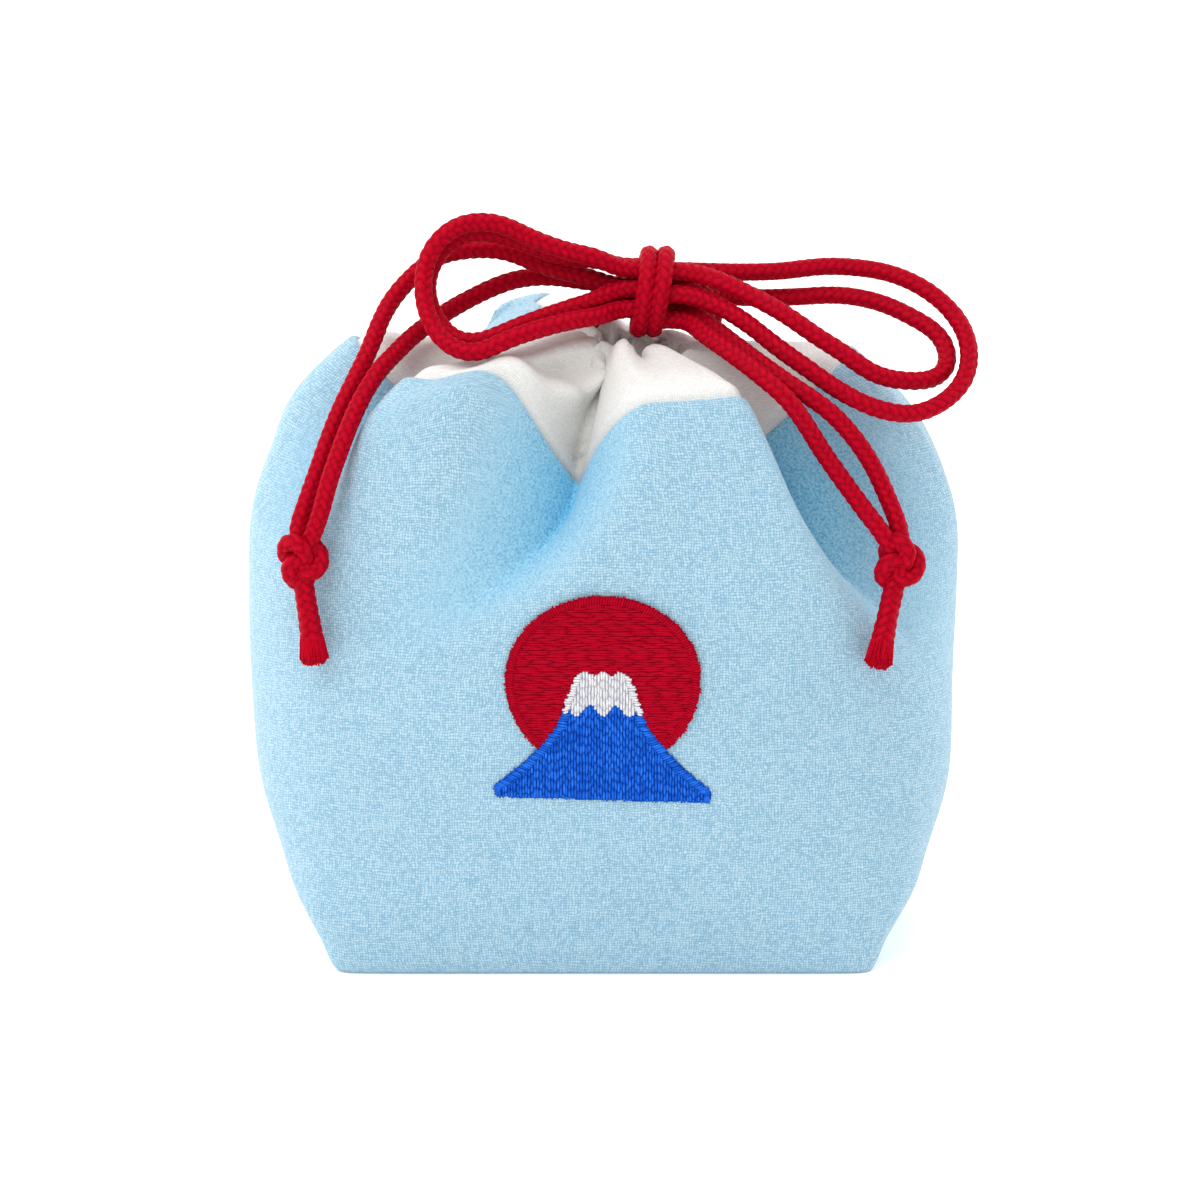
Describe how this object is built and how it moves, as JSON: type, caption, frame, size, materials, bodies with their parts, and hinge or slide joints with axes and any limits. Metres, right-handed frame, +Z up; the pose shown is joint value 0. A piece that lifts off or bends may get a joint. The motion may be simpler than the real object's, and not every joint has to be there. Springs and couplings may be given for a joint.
{
  "type": "drawstring pouch",
  "caption": "Small crepe drawstring pouch with a flat boxed base, a gathered collar, an embroidered sun and snow-capped mountain on the front, and braided cords tied in a bow.",
  "frame": {"origin": "middle of the flat base, on the surface it rests on", "axes": "+Z up out of the mouth, -Y out of the embroidered front, +X to the right as seen from the front"},
  "size_m": [0.1286, 0.0709, 0.1317],
  "materials": {
    "crepe_blue": "matt crepe with a fine pebbled grain",
    "crepe_white": "matt crepe with a fine pebbled grain",
    "cord_red": "tight round braid with a soft sheen",
    "thread_red": "embroidery thread with a silky sheen",
    "thread_blue": "embroidery thread with a silky sheen",
    "thread_white": "embroidery thread with a silky sheen"
  },
  "bodies": {
    "root": {"pouch_body": "crepe_blue", "collar": "crepe_white", "sun_patch": "thread_red", "mountain_patch": "thread_blue", "snow_patch": "thread_white", "bow_knot": "cord_red", "loop_left_1": "cord_red", "loop_left_2": "cord_red", "loop_right_1": "cord_red", "loop_right_2": "cord_red", "tail_left_1": "cord_red", "tail_left_2": "cord_red", "tail_right_1": "cord_red", "tail_right_2": "cord_red", "stem_left_1": "cord_red", "stem_left_2": "cord_red", "stem_right_1": "cord_red", "stem_right_2": "cord_red", "end_knot_left": "cord_red", "end_knot_right": "cord_red", "tip_left": "cord_red", "tip_right": "cord_red"}
  },
  "joints": []
}
